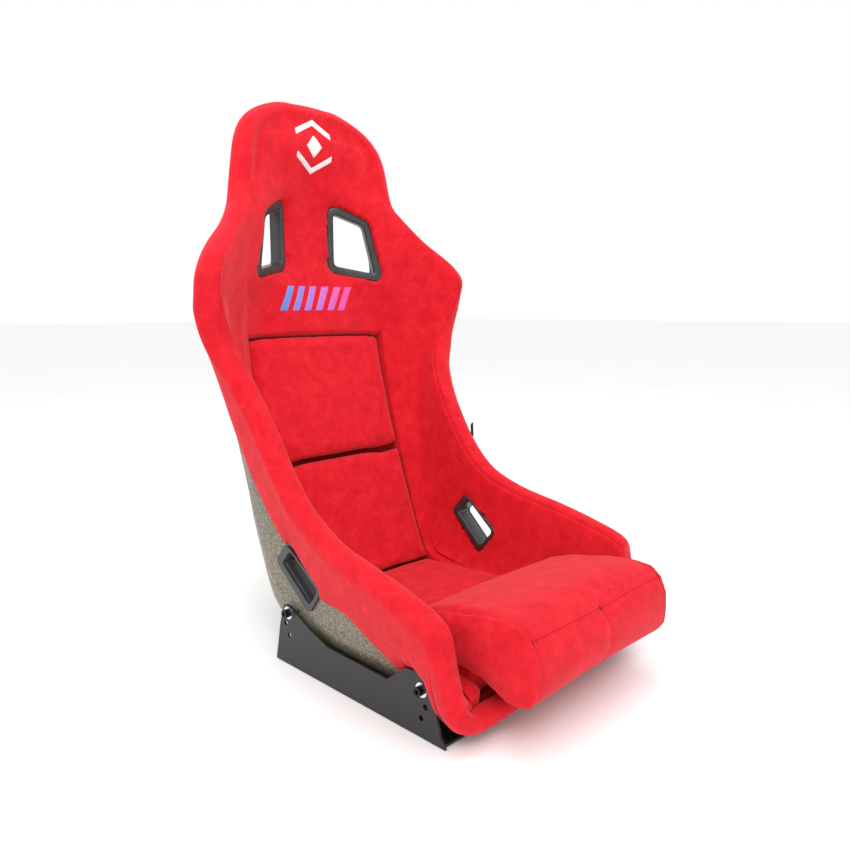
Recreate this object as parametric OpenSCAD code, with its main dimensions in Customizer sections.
// Fixed-back bucket seat: laminated shell, padded covers, removable pads,
// harness slot trims and two bolted side brackets. Seat faces -Y, +Z is up,
// z = 0 is the underside of the bracket feet, X = 0 is the centre plane.

/* [Shell] */
// Half width of the shell's side walls at the hips
hip_x = 198; // [192:1:200]
// Half width of the shell's edge across the shoulder wings
wing_x = 269; // [262:1:276]
// Half width of the shell's edge beside the head
head_x = 148; // [142:1:154]
// Thickness of the laminate
shell_t = 4.4; // [4:0.1:5]
// Height of the pan's inside surface above the floor
pan_z = 36; // [36:1:38]

/* [Pads] */
// Half width of the back and seat pads
pad_x = 150; // [146:1:150]
// Thickness of the back pads
pad_t = 40; // [36:1:44]
// Upward tilt of the direction in which pads pull off
pull_deg = 18; // [17:0.5:19]
// Thickness of the fabric covers
skin_t = 2; // [1.5:0.1:2.5]
// Half width of the thigh bolster
thigh_x = 165; // [160:1:165]

/* [Brackets] */
// Outer face of the bracket plates from the centre plane
bracket_x = 211; // [211:0.5:213]
// Thickness of the bracket plate
bracket_t = 3.5; // [3:0.5:3.5]
// Length of the bracket foot
foot_len = 368; // [360:2:372]
// Width of the inward foot
foot_w = 42; // [38:1:46]
// Distance between front and rear side bolts
bolt_pitch = 290; // [288:1:292]
// Front to rear distance between the floor holes
floor_y = 290; // [280:5:300]
// Side to side distance between the floor holes
floor_x = 378; // [376:1:380]
// Radius of the floor holes
floor_r = 4.25; // [4.1:0.05:4.5]

/* [Hidden] */
red = [0.80, 0.07, 0.12];
hw = hip_x; ww = wing_x; dw = head_x; pz = pan_z;

// Stations along the shell's inside surface, from the front lip over the pan,
// up the back to the head: centre (y, z), floor corner, wall foot, edge (x, y, z)
ST = [
 [-206, 43,  150,-206, 37,  hw+1,-204, 44, hw+14,-200,102],
 [-194, 38,  152,-194, 34,  hw+1,-192, 46, hw+19,-189,137],
 [-180, pz+1,156,-180,pz-1, hw-4,-178, 52, hw+22,-175,160],
 [-120, pz,  159,-120,pz,   hw-5,-120, 60, hw+22,-118,178],
 [ -50, pz,  160, -50,pz,   hw-3, -50, 65, hw+21,-51,194],
 [  20, pz,  160,  20,pz,   hw,    18, 70, hw+18, 10,206],
 [  90, pz,  160,  90,pz,   hw,    84, 76, hw+12, 55,220],
 [ 150, pz+1,160, 148,pz+2, hw+1, 146, 97, hw+8, 95,238],
 [ 200, 46,  162, 197, 49,  hw+1, 190,112, hw+7,128,264],
 [ 230, 72,  163, 227, 76,  hw+1, 210,142, hw+7,155,296],
 [ 250,110,  161, 246,114,  hw+1, 228,180, hw+8,178,330],
 [ 275,175,  157, 270,178,  hw+1, 250,230, hw+11,203,370],
 [ 300,240,  150, 292,242,  hw+2, 265,284, hw+17,224,408],
 [ 325,315,  141, 317,317,  hw+3, 285,346, hw+28,242,448],
 [ 345,385,  133, 340,387,  hw+3, 304,409, ww-24,251,490],
 [ 362,450,  126, 358,450,  hw+4, 313,466, ww-7,249,535],
 [ 372,510,  122, 368,510,  hw+7, 315,520, ww,244,575],
 [ 378,570,  124, 362,570,  hw+1, 311,572, ww-4,243,605],
 [ 385,630,  118, 346,628,  179,309,627, ww-27,260,640],
 [ 387,690,  112, 344,685,  162,313,679, ww-62,284,675],
 [ 387,740,  100, 351,733,  142,325,722, ww-91,308,712],
 [ 384,785,   92, 361,776,  dw-11,340,765, dw+13,322,748],
 [ 376,825,   90, 366,818,  dw-17,350,807, dw+3,327,790],
 [ 366,860,   80, 363,855,  dw-27,348,844, dw-4,330,829],
 [ 352,887,   66, 350,885,  dw-44,344,872, dw-16,333,856]];
NS = len(ST) - 1;

function cr(a, b, c, d, t) = 0.5*((2*b) + (c-a)*t + (2*a-5*b+4*c-d)*t*t + (3*b-a-3*c+d)*t*t*t);
function crs(P, u) = let (n = len(P)-1, v = min(max(u, 0), n), i = min(floor(v), n-1), t = v-i,
  a = i > 0 ? P[i-1] : 2*P[0]-P[1], d = i+2 <= n ? P[i+2] : 2*P[n]-P[n-1]) cr(a, P[i], P[i+1], d, t);
function secp(r) = let (B = [r[2], r[3], r[4]],
  M = [B[0]/2, r[0]*0.6+B[1]*0.4, r[1]*0.6+B[2]*0.4])
  [[-M[0], M[1], M[2]], [0, r[0], r[1]], M, B, [r[5], r[6], r[7]], [r[8], r[9], r[10]]];
function S(u, t) = let (P = secp(crs(ST, u)), a = abs(t), i = min(floor(a), 3),
  d = i+3 <= 5 ? P[i+3] : 2*P[5]-P[4], p = cr(P[i], P[i+1], P[i+2], d, a-i))
  [t < 0 ? -p[0] : p[0], p[1], p[2]];
function unit(v) = v/norm(v);
function nrm(u, t) = let (e = 0.03, u0 = max(u-e, 0), u1 = min(u+e, NS), t0 = max(t-e, -4), t1 = min(t+e, 4))
  unit(cross(S(u1, t)-S(u0, t), S(u, t1)-S(u, t0)));
function off(u, t, h) = S(u, t) + h*nrm(u, t);
// Section position of a given x on the inside surface, by halving
function tx(u, x, a = 1.2, b = 3, k = 11) = k == 0 ? (a+b)/2 :
  let (m = (a+b)/2) S(u, m)[0] < x ? tx(u, x, m, b, k-1) : tx(u, x, a, m, k-1);
function sm(a, b, x) = let (q = min(max((x-a)/(b-a), 0), 1)) q*q*(3-2*q);
// Value from a table of [key, values...] rows, straight between rows
function look(T, s, c) = let (n = len(T), i = max([for (k = [0:n-2]) T[k][0] <= s ? k : 0]),
  q = min(max((s-T[i][0])/(T[i+1][0]-T[i][0]), 0), 1)) T[i][c]*(1-q) + T[i+1][c]*q;

// Edge path of the shell: front edge, front corner, side, head corner, top edge
UF = 1.5; TF = 2.8; UH = 22; TH = 2.4;
function rim(s) = s <= -1 ? [0, TF*(s+2)] :
  s <= 0 ? [UF*(1-sin(-90*s)), TF+(4-TF)*cos(-90*s)] :
  s <= 1 ? [UF+(UH-UF)*s, 4] :
  s <= 2 ? [UH+(NS-UH)*sin(90*(s-1)), TH+(4-TH)*cos(90*(s-1))] : [NS, TH*(3-s)];
function inw(s) = s <= -1 ? [1, 0] : s <= 0 ? ([UF+0.2*sin(-90*s), 1.97+(TF-1.97)*sin(-90*s)]-rim(s))/win(s) :
  s <= 1 ? [0, -1] : s <= 2 ? [-sin(90*(s-1)), -cos(90*(s-1))] : [-1, 0];
function su(u) = (u-UF)/(UH-UF);
function tlim(u) = u < UF ? TF+(4-TF)*sqrt(max(0, 1-pow((UF-u)/UF, 2))) :
  u > UH ? TH+(4-TH)*sqrt(max(0, 1-pow((u-UH)/(NS-UH), 2))) : 4;

// Closed polyhedron, with its faces turned the right way round
function vol6(P, F) = let (V = [for (f = F) P[f[0]]*cross(P[f[1]], P[f[2]])]) V*[for (v = V) 1];
module closed(P, F) polyhedron(P, vol6(P, F) > 0 ? [for (f = F) [f[2], f[1], f[0]]] : F, 4);
// Closed solid between two grids of points with the same layout
module slab(A, B) {
  n = len(A); m = len(A[0]); N = n*m;
  pts = concat([for (r = A) for (p = r) p], [for (r = B) for (p = r) p]);
  q = function (a, b, c, d) [[a, b, c], [a, c, d]];
  faces = concat(
    [for (i = [0:n-2]) for (j = [0:m-2]) each q(i*m+j, i*m+j+1, (i+1)*m+j+1, (i+1)*m+j)],
    [for (i = [0:n-2]) for (j = [0:m-2]) each q(N+i*m+j, N+(i+1)*m+j, N+(i+1)*m+j+1, N+i*m+j+1)],
    [for (j = [0:m-2]) each q(j, N+j, N+j+1, j+1)],
    [for (j = [0:m-2]) each q((n-1)*m+j, (n-1)*m+j+1, N+(n-1)*m+j+1, N+(n-1)*m+j)],
    [for (i = [0:n-2]) each q(i*m, (i+1)*m, N+(i+1)*m, N+i*m)],
    [for (i = [0:n-2]) each q(i*m+m-1, N+i*m+m-1, N+(i+1)*m+m-1, (i+1)*m+m-1)]);
  closed(pts, faces);
}
// Closed band: sections R[j] are loops of points, joined round from last to first
module band(R) {
  n = len(R); m = len(R[0]);
  closed([for (r = R) for (p = r) p],
    [for (j = [0:n-1]) for (i = [0:m-1]) let (a = j*m+i, b = j*m+(i+1)%m,
      c = ((j+1)%n)*m+(i+1)%m, d = ((j+1)%n)*m+i) each [[a, b, c], [a, c, d]]]);
}
// Padding thickness around the edge path, one row per place:
// key, inner pad at start / third / two thirds / edge, outer pad at edge / middle / end,
// width of outer wrap
PD = [
 [-2,        10, 10, 10, 10,  12, 12,  8, 1.05],
 [-1,        13, 12, 12, 11,  13, 13, 10, 1.05],
 [-0.5,      20, 17, 14, 14,  16, 14, 10, 1.75],
 [ 0,        30, 22, 16, 16,  20, 17, 11, 1.80],
 [su(2.4),   39, 28, 18, 18,  20, 19, 12, 1.30],
 [su(3.0),   40, 29, 18, 18,  20, 17, 10, 0.92],
 [su(3.6),   40, 29, 18, 18,  20, 14,  5.5, 0.74],
 [su(4.8),   40, 30, 19, 18,  19, 12,  5, 0.50],
 [su(5.8),   40, 31, 19, 18,  19, 12,  5, 0.54],
 [su(7.4),   38, 31, 19, 18,  19, 12,  5, 0.36],
 [su(8.6),   33, 28, 20, 19,  19, 12,  5, 0.41],
 [su(10.4),  30, 27, 21, 20,  19, 12,  5, 0.51],
 [su(12.9),  29, 26, 21, 21,  20, 13,  5, 0.70],
 [su(14.5),  29, 26, 21, 22,  20, 13,  5, 0.80],
 [su(16.6),  31, 27, 22, 22,  20, 13,  5, 0.80],
 [su(18.2),  19, 20, 20, 20,  18, 12,  5, 0.80],
 [su(20),    20, 20, 19, 18,  16, 11,  5, 0.85],
 [ 1,        30, 26, 22, 18,  15, 10,  5, 0.95],
 [ 1.5,      34, 28, 23, 18,  15, 10,  5, 1.00],
 [ 3,        36, 30, 24, 19,  15, 10,  5, 1.00]];
function win(s) = s <= -1 ? 1.15 : s < 0 ? 1.7 + (4-tx(UF, pad_x+2.5)-1.7)*(1+s) :
  s > su(18) ? 0.9 : let (u = UF+(UH-UF)*s) (4-tx(min(u, 16.6), pad_x+2.5))*(1-sm(16.6, 18, u)) + 0.9*sm(16.6, 18, u);
function hin(s, q) = let (a = q*3, i = min(floor(a), 2)) look(PD, s, 1+i)*(1-(a-i)) + look(PD, s, 2+i)*(a-i);
function hout(s, q) = let (a = q*2, i = min(floor(a), 1)) look(PD, s, 5+i)*(1-(a-i)) + look(PD, s, 6+i)*(a-i);
NI = 8; NC = 4; NO = 5; gap = 2.6;
// One section of the padded edge: outer skin and inner skin, m = -1 mirrors it
function psec(s, m = 1) = let (r = rim(s), d = inw(s), W = win(s), Wo = look(PD, s, 8),
  at = function (k, f, h) let (p = r+d*k) off(p[0], m*p[1], h),
  n1 = nrm(r[0], m*r[1]), R0 = S(r[0], m*r[1]), f0 = r+0.12*d, o = unit(R0-S(f0[0], m*f0[1])),
  o1 = unit(o-n1*(o*n1)), hi = hin(s, 1), ho = shell_t+hout(s, 0), cR = (hi+ho)/2, ch = (ho-hi)/2)
  [concat(
    [for (k = [0:NI-1]) let (q = k/NI, p = r+d*W*(1-q), n = nrm(p[0], m*p[1]),
      e = unit([0, -n[1], -n[2]]), v = unit(e*(1-sm(0, 0.4, q))-n*sm(0, 0.4, q))) S(p[0], m*p[1]) + v*hin(s, q)],
    [for (k = [0:NC]) let (a = -90+180*k/NC) R0+n1*ch+cR*(cos(a)*o1+sin(a)*n1)],
    [for (k = [1:NO]) at(Wo*k/NO, 0, shell_t+hout(s, k/NO))]),
   concat(
    [for (k = [0:NI-1]) at(W*(1-k/NI), 0, -gap)],
    [for (k = [0:NC]) let (a = -90+180*k/NC) R0+n1*shell_t/2+(shell_t/2+gap)*(cos(a)*o1+sin(a)*n1)],
    [for (k = [1:NO]) at(Wo*k/NO, 0, shell_t+gap)])];
module padded_edge(L, m = 1) {
  Q = [for (s = L) psec(abs(s) > 90 ? s-100 : s, abs(s) > 90 ? -m : m)];
  slab([for (x = Q) x[m > 0 ? 0 : 1]], [for (x = Q) x[m > 0 ? 1 : 0]]);
}
function steps(a, b, n) = [for (k = [0:n]) a+(b-a)*k/n];

// Harness slots: straight moulded tubes. Shoulder slot in its own (x, z), lap slot in (y, z)
SH_O = [[10, 725], [66, 704], [87, 616], [10, 630]]; SH_OR = [9, 9, 9, 9];
SH_F = [[-3, 749], [78, 713], [108, 599], [-3, 616]]; SH_FR = [34, 13, 26, 20];
LP_O = [[128, 194], [152, 169], [92, 116], [68, 146]]; LP_OR = [7, 7, 7, 7];
LP_F = [[138, 206], [170, 168], [96, 99], [57, 148]]; LP_FR = [12, 12, 12, 12];
sh_tilt = 29; lp_tilt = 5;
// Rounded outline of a slot, grown outwards by g, corner lengths r
function grow(C, g, r) = [for (i = [0:3]) let (p = C[i], a = unit(C[(i+3)%4]-p), b = unit(C[(i+1)%4]-p),
  h = acos(a*b)/2, m = -unit(a+b)*g/sin(h), q = p+m, e = min(r[i]+g, 0.4*norm(C[(i+1)%4]-p), 0.4*norm(C[(i+3)%4]-p)))
  for (k = [0:4]) let (w = k/4) (q+a*e)*(1-w)*(1-w)+2*q*w*(1-w)+(q+b*e)*w*w];
// Prisms along the slots; w counts outwards from the trim's front plane
module sh_frame() translate([50, 359.5, 0]) rotate([0, 0, -sh_tilt]) rotate([90, 0, 0]) mirror([0, 0, 1]) children();
module sh_prism(Q, w0, w1) sh_frame() translate([0, 0, w0]) linear_extrude(w1-w0) polygon(Q);
module lp_frame() translate([184, 0, 155]) rotate([0, lp_tilt, 0]) translate([0, 0, -155]) rotate([90, 0, 90]) children();
module lp_prism(Q, w0, w1) lp_frame() translate([0, 0, w0]) linear_extrude(w1-w0) polygon(Q);

D = [0, -cos(pull_deg), sin(pull_deg)];
// Side bolts: [y, z, inner end of the insert on x]
BOLTS = [[147, 86, 199.5], [147-bolt_pitch, 67, 201.5]];

module at_bolts(r, x0, x1) for (b = BOLTS) for (m = [1, -1])
  translate([m > 0 ? x0 : -x1, b[0], b[1]]) rotate([0, 90, 0]) cylinder(r = r, h = x1-x0, $fn = 32);

module seat_shell() color([0.30, 0.27, 0.21]) difference() {
  U = concat([for (k = [0:7]) UF*(1-sin(90-90*k/7))], steps(2.0, 21.5, 39), [for (k = [0:5]) UH+(NS-UH)*sin(90*k/5)]);
  K0 = [0.14, 0.28, 0.38, 0.46, 0.52, 0.58, 0.64, 0.70, 0.76, 0.83, 0.91, 1];
  K = concat([for (j = [11:-1:0]) -K0[j]], [0], K0);
  G = [for (u = U) [for (k = K) [u, k*tlim(u)]]];
  slab([for (r = G) [for (p = r) off(p[0], p[1], 0)]], [for (r = G) [for (p = r) off(p[0], p[1], shell_t)]]);
  for (m = [0, 1]) mirror([m, 0, 0]) {
    sh_prism(grow(SH_O, 3.6, SH_OR), -60, 60);
    lp_prism(grow(LP_O, 3.4, LP_OR), -8, 60);
  }
  at_bolts(8.3, 185, 215);
}

module seat_liner() color([0.55, 0.06, 0.10]) {
  G = [for (u = steps(2.0, 15.5, 27)) let (T = tx(u, pad_x+1)) [for (k = [-4:4]) [u, T*k/4]]];
  slab([for (r = G) [for (p = r) off(p[0], p[1], -2.8)]], [for (r = G) [for (p = r) off(p[0], p[1], -1.6)]]);
}

// Point on a surface raised along the pull-off direction
function up(u, t, h) = S(u, t)+h*D;
module patch(u0, u1, x0, x1, h0, h1) {
  G = [for (u = steps(u0, u1, 6)) [for (k = [0:2]) let (x = x0+(x1-x0)*k/2)
    [u, x < 0 ? -tx(u, -x, 0, 3) : tx(u, x, 0, 3)]]];
  slab([for (r = G) [for (p = r) up(p[0], p[1], h1)]], [for (r = G) [for (p = r) up(p[0], p[1], h0)]]);
}
module strips(h0, h1, up_on, lo_on) for (x = [-105, -15, 75]) {
  if (up_on) patch(13.1, 15.0, x, x+30, h0, h1);
  if (lo_on) patch(9.8, 12.2, x, x+30, h0, h1);
}
module loop_strips() color([0.10, 0.10, 0.10]) {
  strips(3.7, 4.3, true, true);
  for (x = [-110, -15, 80]) translate([x, -130, pan_z+3.3]) cube([30, 180, 0.8]);
}

// Back pads: straight sides along the pull-off direction, flat crowned front
U0 = 8.95; U1 = 12.42; U2 = 12.55; U3 = 15.68;
module back_pad(u0, u1, g) {
  G = [for (u = steps(u0, u1, 8)) let (du = 0.022*g) [for (k = [-4:4]) let (x = (pad_x-g)*k/4)
    [u0+(u-u0)*(1-2*du/(u1-u0))+du, x < 0 ? -tx(u, -x, 0, 3) : tx(u, x, 0, 3), k/4]]];
  f = function (p) let (c = S(p[0], 0), q = S(p[0], p[1]))
    q+D*((pad_t-g)-(c[1]-q[1])/cos(pull_deg)*0.92-4*pow(p[2], 4));
  slab([for (r = G) [for (p = r) f(p)]], [for (r = G) [for (p = r) up(p[0], p[1], 5.9+g)]]);
}
module upper_pad_cover() color(red) difference() { back_pad(U2, U3, 0); back_pad(U2, U3, skin_t); }
module upper_pad_foam() color([0.85, 0.82, 0.72]) back_pad(U2, U3, skin_t+0.4);
module upper_pad_hook_strips() color([0.08, 0.08, 0.08]) strips(4.6, 5.2, true, false);
module lower_pad_cover() color(red) difference() { back_pad(U0, U1, 0); back_pad(U0, U1, skin_t); }
module lower_pad_foam() color([0.85, 0.82, 0.72]) back_pad(U0, U1, skin_t+0.4);
module lower_pad_hook_strips() color([0.08, 0.08, 0.08]) strips(4.6, 5.2, false, true);

// Seat pad and thigh bolster: profiles in (y, z), extruded across
function seat_prof(g) = let (z0 = pan_z+5.6+g) [[-172+g, z0], [150, z0], [184-g, z0+6], [212-1.6*g, 63+g*0.4],
  [208-1.6*g, 71-g], [190, 76-g], [150, 79-g], [60, 84-g], [-172+g, 84-g]];
THP = [[-36, 101], [-50, 118], [-78, 137], [-130, 155], [-190, 167], [-233, 172], [-262, 168], [-277, 156],
  [-286, 134], [-289, 106], [-286, 84], [-277, 70], [-262, 65], [-240, 66], [-218, 74], [-196, 83],
  [-172, 84.6], [-36, 84.6]];
function inset2(P, g) = let (c = [-160, 122]) [for (p = P) let (v = p-c) p-[v[0]*g/125, v[1]*g/38]];
module across(P, x) translate([-x, 0, 0]) rotate([90, 0, 90]) linear_extrude(2*x) polygon(P);
module seat_pad_cover() color(red) difference() { across(seat_prof(0), pad_x-1.5); across(seat_prof(skin_t), pad_x-1.5-skin_t); }
module seat_pad_foam() color([0.85, 0.82, 0.72]) across(seat_prof(skin_t+0.4), pad_x-1.9-skin_t);
module seat_pad_hook_strips() color([0.08, 0.08, 0.08])
  for (x = [-110, -15, 80]) translate([x, -130, pan_z+4.5]) cube([30, 180, 0.9]);
module thigh_bolster_cover() color(red) difference() { across(THP, thigh_x); across(inset2(THP, skin_t), thigh_x-skin_t); }
module thigh_bolster_foam() color([0.85, 0.82, 0.72]) across(inset2(THP, skin_t+0.5), thigh_x-skin_t-0.5);

// Padded panel from the shoulders to the head
PT = [[15.7, 41], [16.5, 42], [17, 40], [18, 30], [19, 29], [20, 31], [21, 38], [22, 46], [23, 46], [24, 42]];
UP0 = 15.80;
function ptlim(u) = let (g = 0.06, T = 4-win(su(min(u, UH)))-g)
  u <= UH ? T : TH+(T-TH)*sqrt(max(0, 1-pow((u-UH)/(NS-1.02-UH), 2)));
function pth(u, k) = look(PT, u, 1)*(1-pow(k, 2)) + (u > UH ? 31 : hin(su(u), 0))*pow(k, 2);
module shoulder_panel() color(red) difference() {
  U = concat(steps(UP0, 21.6, 13), [for (k = [0:4]) UH+(NS-1.02-UH)*sin(90*k/4)]);
  G = [for (u = U) [for (k = [-6:6]) [u, ptlim(u)*k/6, abs(k/6)]]];
  f = function (p, h) let (b = sm(16, 18, p[0]), v = unit(D*(1-b)-nrm(p[0], p[1])*b)) S(p[0], p[1])+v*h;
  slab([for (r = G) [for (p = r) f(p, pth(p[0], p[2]))]],
       [for (r = G) [for (p = r) f(p, 1.2)]]);
  for (m = [0, 1]) mirror([m, 0, 0]) sh_prism(grow(SH_F, 0.6, SH_FR), -70, 60);
}

module bolster(m) difference() {
  padded_edge(concat(steps(-0.93, 0, 7), [for (k = [1:26]) su(UF+(16.58-UF)*k/26)]), m);
  mirror([m < 0 ? 1 : 0, 0, 0]) lp_prism(grow(LP_F, 0.8, LP_FR), -60, 60);
  bracket_clear(m);
  at_bolts(9, 199, 214);
}
module bolster_right() color(red) bolster(-1);
module bolster_left() color(red) mirror([1, 0, 0]) bolster(-1);
module head_cover() color(red)
  padded_edge(concat([for (k = [0:8]) su(16.62+(UH-16.62)*k/8)], steps(1.17, 2, 5), steps(2.33, 3, 2),
    [for (s = [2.67, 2.33]) 100+s], [for (s = steps(2, 1.17, 5)) 100+s], [for (k = [8:-1:0]) 100+su(16.62+(UH-16.62)*k/8)]), 1);
module front_edge_cover() color(red)
  padded_edge(concat(steps(-1.09, -2, 5), [for (s = steps(-1.82, -1.09, 4)) 100+s]), -1);

// Slot trims: a flange and a tube that passes through the shell
module frame_of(k) { if (k == 0) sh_frame() children(); else lp_frame() children(); }
module trim(k, F, FR, O, OR, t, len) frame_of(k) difference() {
  union() { linear_extrude(t) polygon(grow(F, 0, FR)); linear_extrude(len) polygon(grow(O, 3, OR)); }
  translate([0, 0, -1]) linear_extrude(len+2) polygon(grow(O, 0, OR));
}
module shoulder_front() trim(0, SH_F, SH_FR, SH_O, SH_OR, 4, 22);
module lap_inner() trim(1, LP_F, LP_FR, LP_O, LP_OR, 4, 27.4);
// Rear trim of the shoulder slot: a band that follows the back of the shell
function uz(x, z, a = 16.5, b = 21, k = 10) = k == 0 ? [(a+b)/2, tx((a+b)/2, x, 0, 4)] :
  let (m = (a+b)/2) S(m, tx(m, x, 0, 4))[2] < z ? uz(x, z, m, b, k-1) : uz(x, z, a, m, k-1);
module shoulder_rear() {
  c = function (Q, h) [for (i = [0:len(Q)-1]) for (k = [0:(i%5 == 4 ? 4 : 0)]) let (p = Q[i]+(Q[(i+1)%len(Q)]-Q[i])*k/5,
    q = uz(55.8+p[0]*cos(sh_tilt), p[1])) off(q[0], q[1], h)];
  A = c(grow(SH_F, -2, SH_FR), shell_t+2.6); B = c(grow(SH_F, -2, SH_FR), shell_t+5.6);
  E = c(grow(SH_O, 5, SH_OR), shell_t+6.2); F = c(grow(SH_O, 5, SH_OR), shell_t+2.6);
  band([for (j = [0:len(A)-1]) [A[j], B[j], E[j], F[j]]]);
}
module lap_outer() lp_frame() translate([0, 0, 27.5]) difference() {
  linear_extrude(4) polygon(grow(LP_F, -1, LP_FR));
  translate([0, 0, -1]) linear_extrude(8) polygon(grow(LP_O, 0.3, LP_OR));
}
module shoulder_bezel_front_left() color([0.05, 0.05, 0.05]) shoulder_front();
module shoulder_bezel_front_right() color([0.05, 0.05, 0.05]) mirror([1, 0, 0]) shoulder_front();
module shoulder_bezel_rear_left() color([0.05, 0.05, 0.05]) shoulder_rear();
module shoulder_bezel_rear_right() color([0.05, 0.05, 0.05]) mirror([1, 0, 0]) shoulder_rear();
module lap_bezel_inner_left() color([0.05, 0.05, 0.05]) lap_inner();
module lap_bezel_inner_right() color([0.05, 0.05, 0.05]) mirror([1, 0, 0]) lap_inner();
module lap_bezel_outer_left() color([0.05, 0.05, 0.05]) lap_outer();
module lap_bezel_outer_right() color([0.05, 0.05, 0.05]) mirror([1, 0, 0]) lap_outer();

// Brackets: plate outline in (y, z), foot with slotted floor holes
BP = [[184, 0], [171, 62], [160, 95], [152, 98], [140, 95], [93, 74], [52, 60], [-76, 57], [-112, 86], [-130, 88],
  [-160, 82], [-174, 16], [-184, 0]];
function bp_fit(P) = [for (p = P) [abs(p[0]) > 180 ? sign(p[0])*foot_len/2 : p[0], p[1]]];
module yz(x, t, P) translate([x, 0, 0]) rotate([90, 0, 90]) linear_extrude(t) polygon(P);
module bracket() difference() {
  union() {
    yz(bracket_x-bracket_t, bracket_t, bp_fit(BP));
    translate([bracket_x-foot_w, -foot_len/2+4, 0]) cube([foot_w-1, foot_len-8, bracket_t]);
  }
  for (b = BOLTS) translate([bracket_x-10, b[0], b[1]]) rotate([0, 90, 0]) cylinder(r = 4.2, h = 20, $fn = 32);
  for (p = [[155, 67], [147, 49], [-149, 45], [-141, 27]]) translate([bracket_x-10, p[0], p[1]])
    rotate([0, 90, 0]) cylinder(r = 4.2, h = 20, $fn = 32);
  for (y = [-1, 1]) {
    for (x = [-1, 1]) translate([floor_x/2+x*7, y*floor_y/2, -1]) cylinder(r = floor_r, h = 8, $fn = 32);
    translate([floor_x/2-7, y*floor_y/2-floor_r, -1]) cube([14, 2*floor_r, 8]);
  }
}
module bracket_clear(m) mirror([m < 0 ? 1 : 0, 0, 0]) {
  yz(bracket_x-bracket_t-0.8, 26, [[-150, 57], [-76, 45], [-76, 58], [-104, 82], [-120, 90], [-138, 90], [-150, 82]]);
  yz(bracket_x-bracket_t-0.8, bracket_t+1.6, [[60, 40], [60, 59], [-76, 59], [-111, 88.5], [-130, 90.5], [-162, 84], [-178, 10], [-178, -5]]);
  translate([bracket_x-bracket_t-0.8, -143, 67]) rotate([0, 90, 0]) cylinder(r = 12.5, h = 40, $fn = 32);
}
module side_bracket_left() color([0.04, 0.04, 0.04]) bracket();
module side_bracket_right() color([0.04, 0.04, 0.04]) mirror([1, 0, 0]) bracket();
module side_bolts() color([0.07, 0.07, 0.08]) for (b = BOLTS) for (m = [0, 1]) mirror([m, 0, 0])
  translate([0, b[0], b[1]]) rotate([0, 90, 0]) difference() {
    union() { translate([0, 0, bracket_x+1.7]) cylinder(r = 6.5, h = 8, $fn = 32);
      translate([0, 0, b[2]+1]) cylinder(r = 4, h = bracket_x+4-b[2]-1, $fn = 32); }
    translate([0, 0, bracket_x+5]) cylinder(r = 3.4, h = 8, $fn = 6);
  }
module bolt_washers() color([0.75, 0.75, 0.77]) for (b = BOLTS) for (m = [0, 1]) mirror([m, 0, 0])
  translate([bracket_x+0.05, b[0], b[1]]) rotate([0, 90, 0]) difference() {
    cylinder(r = 10, h = 1.6, $fn = 32); translate([0, 0, -1]) cylinder(r = 4.2, h = 4, $fn = 32); }
module shell_inserts() color([0.60, 0.60, 0.62]) for (b = BOLTS) for (m = [0, 1]) mirror([m, 0, 0])
  translate([b[2], b[0], b[1]]) rotate([0, 90, 0]) difference() {
    cylinder(r = 8, h = bracket_x-bracket_t-0.05-b[2], $fn = 32); translate([0, 0, -1]) cylinder(r = 4.05, h = 20, $fn = 32); }

module side_tag() color([0.05, 0.05, 0.05]) translate([227.6, 155, 304]) rotate([0, -12, 30]) cube([15, 2.4, 27]);
module head_emblem() color([0.80, 0.25, 0.45]) {
  G = [for (u = steps(22.0, 22.9, 3)) [for (k = [-2:2]) [u, k*0.38, 0]]];
  f = function (p, h) S(p[0], p[1])-nrm(p[0], p[1])*(pth(p[0], abs(p[1]/ptlim(p[0])))+h);
  slab([for (r = G) [for (p = r) f(p, 2.0)]], [for (r = G) [for (p = r) f(p, 0.8)]]);
}
module shoulder_emblem() color([0.20, 0.45, 0.75]) {
  G = [for (u = steps(16.4, 17.3, 2)) [for (k = [-3:3]) [u, k*0.34, 0]]];
  f = function (p, h) let (b = sm(16, 18, p[0]), v = unit(D*(1-b)-nrm(p[0], p[1])*b)) S(p[0], p[1])+v*(pth(p[0], abs(p[1]/ptlim(p[0])))+h);
  slab([for (r = G) [for (p = r) f(p, 2.0)]], [for (r = G) [for (p = r) f(p, 0.8)]]);
}

seat_shell();
seat_liner();
loop_strips();
shoulder_panel();
bolster_right();
bolster_left();
head_cover();
front_edge_cover();
upper_pad_cover();
upper_pad_foam();
upper_pad_hook_strips();
lower_pad_cover();
lower_pad_foam();
lower_pad_hook_strips();
seat_pad_cover();
seat_pad_foam();
seat_pad_hook_strips();
thigh_bolster_cover();
thigh_bolster_foam();
shoulder_bezel_front_right();
shoulder_bezel_front_left();
shoulder_bezel_rear_right();
shoulder_bezel_rear_left();
lap_bezel_inner_right();
lap_bezel_inner_left();
lap_bezel_outer_right();
lap_bezel_outer_left();
side_bracket_right();
side_bracket_left();
side_bolts();
bolt_washers();
shell_inserts();
side_tag();
head_emblem();
shoulder_emblem();
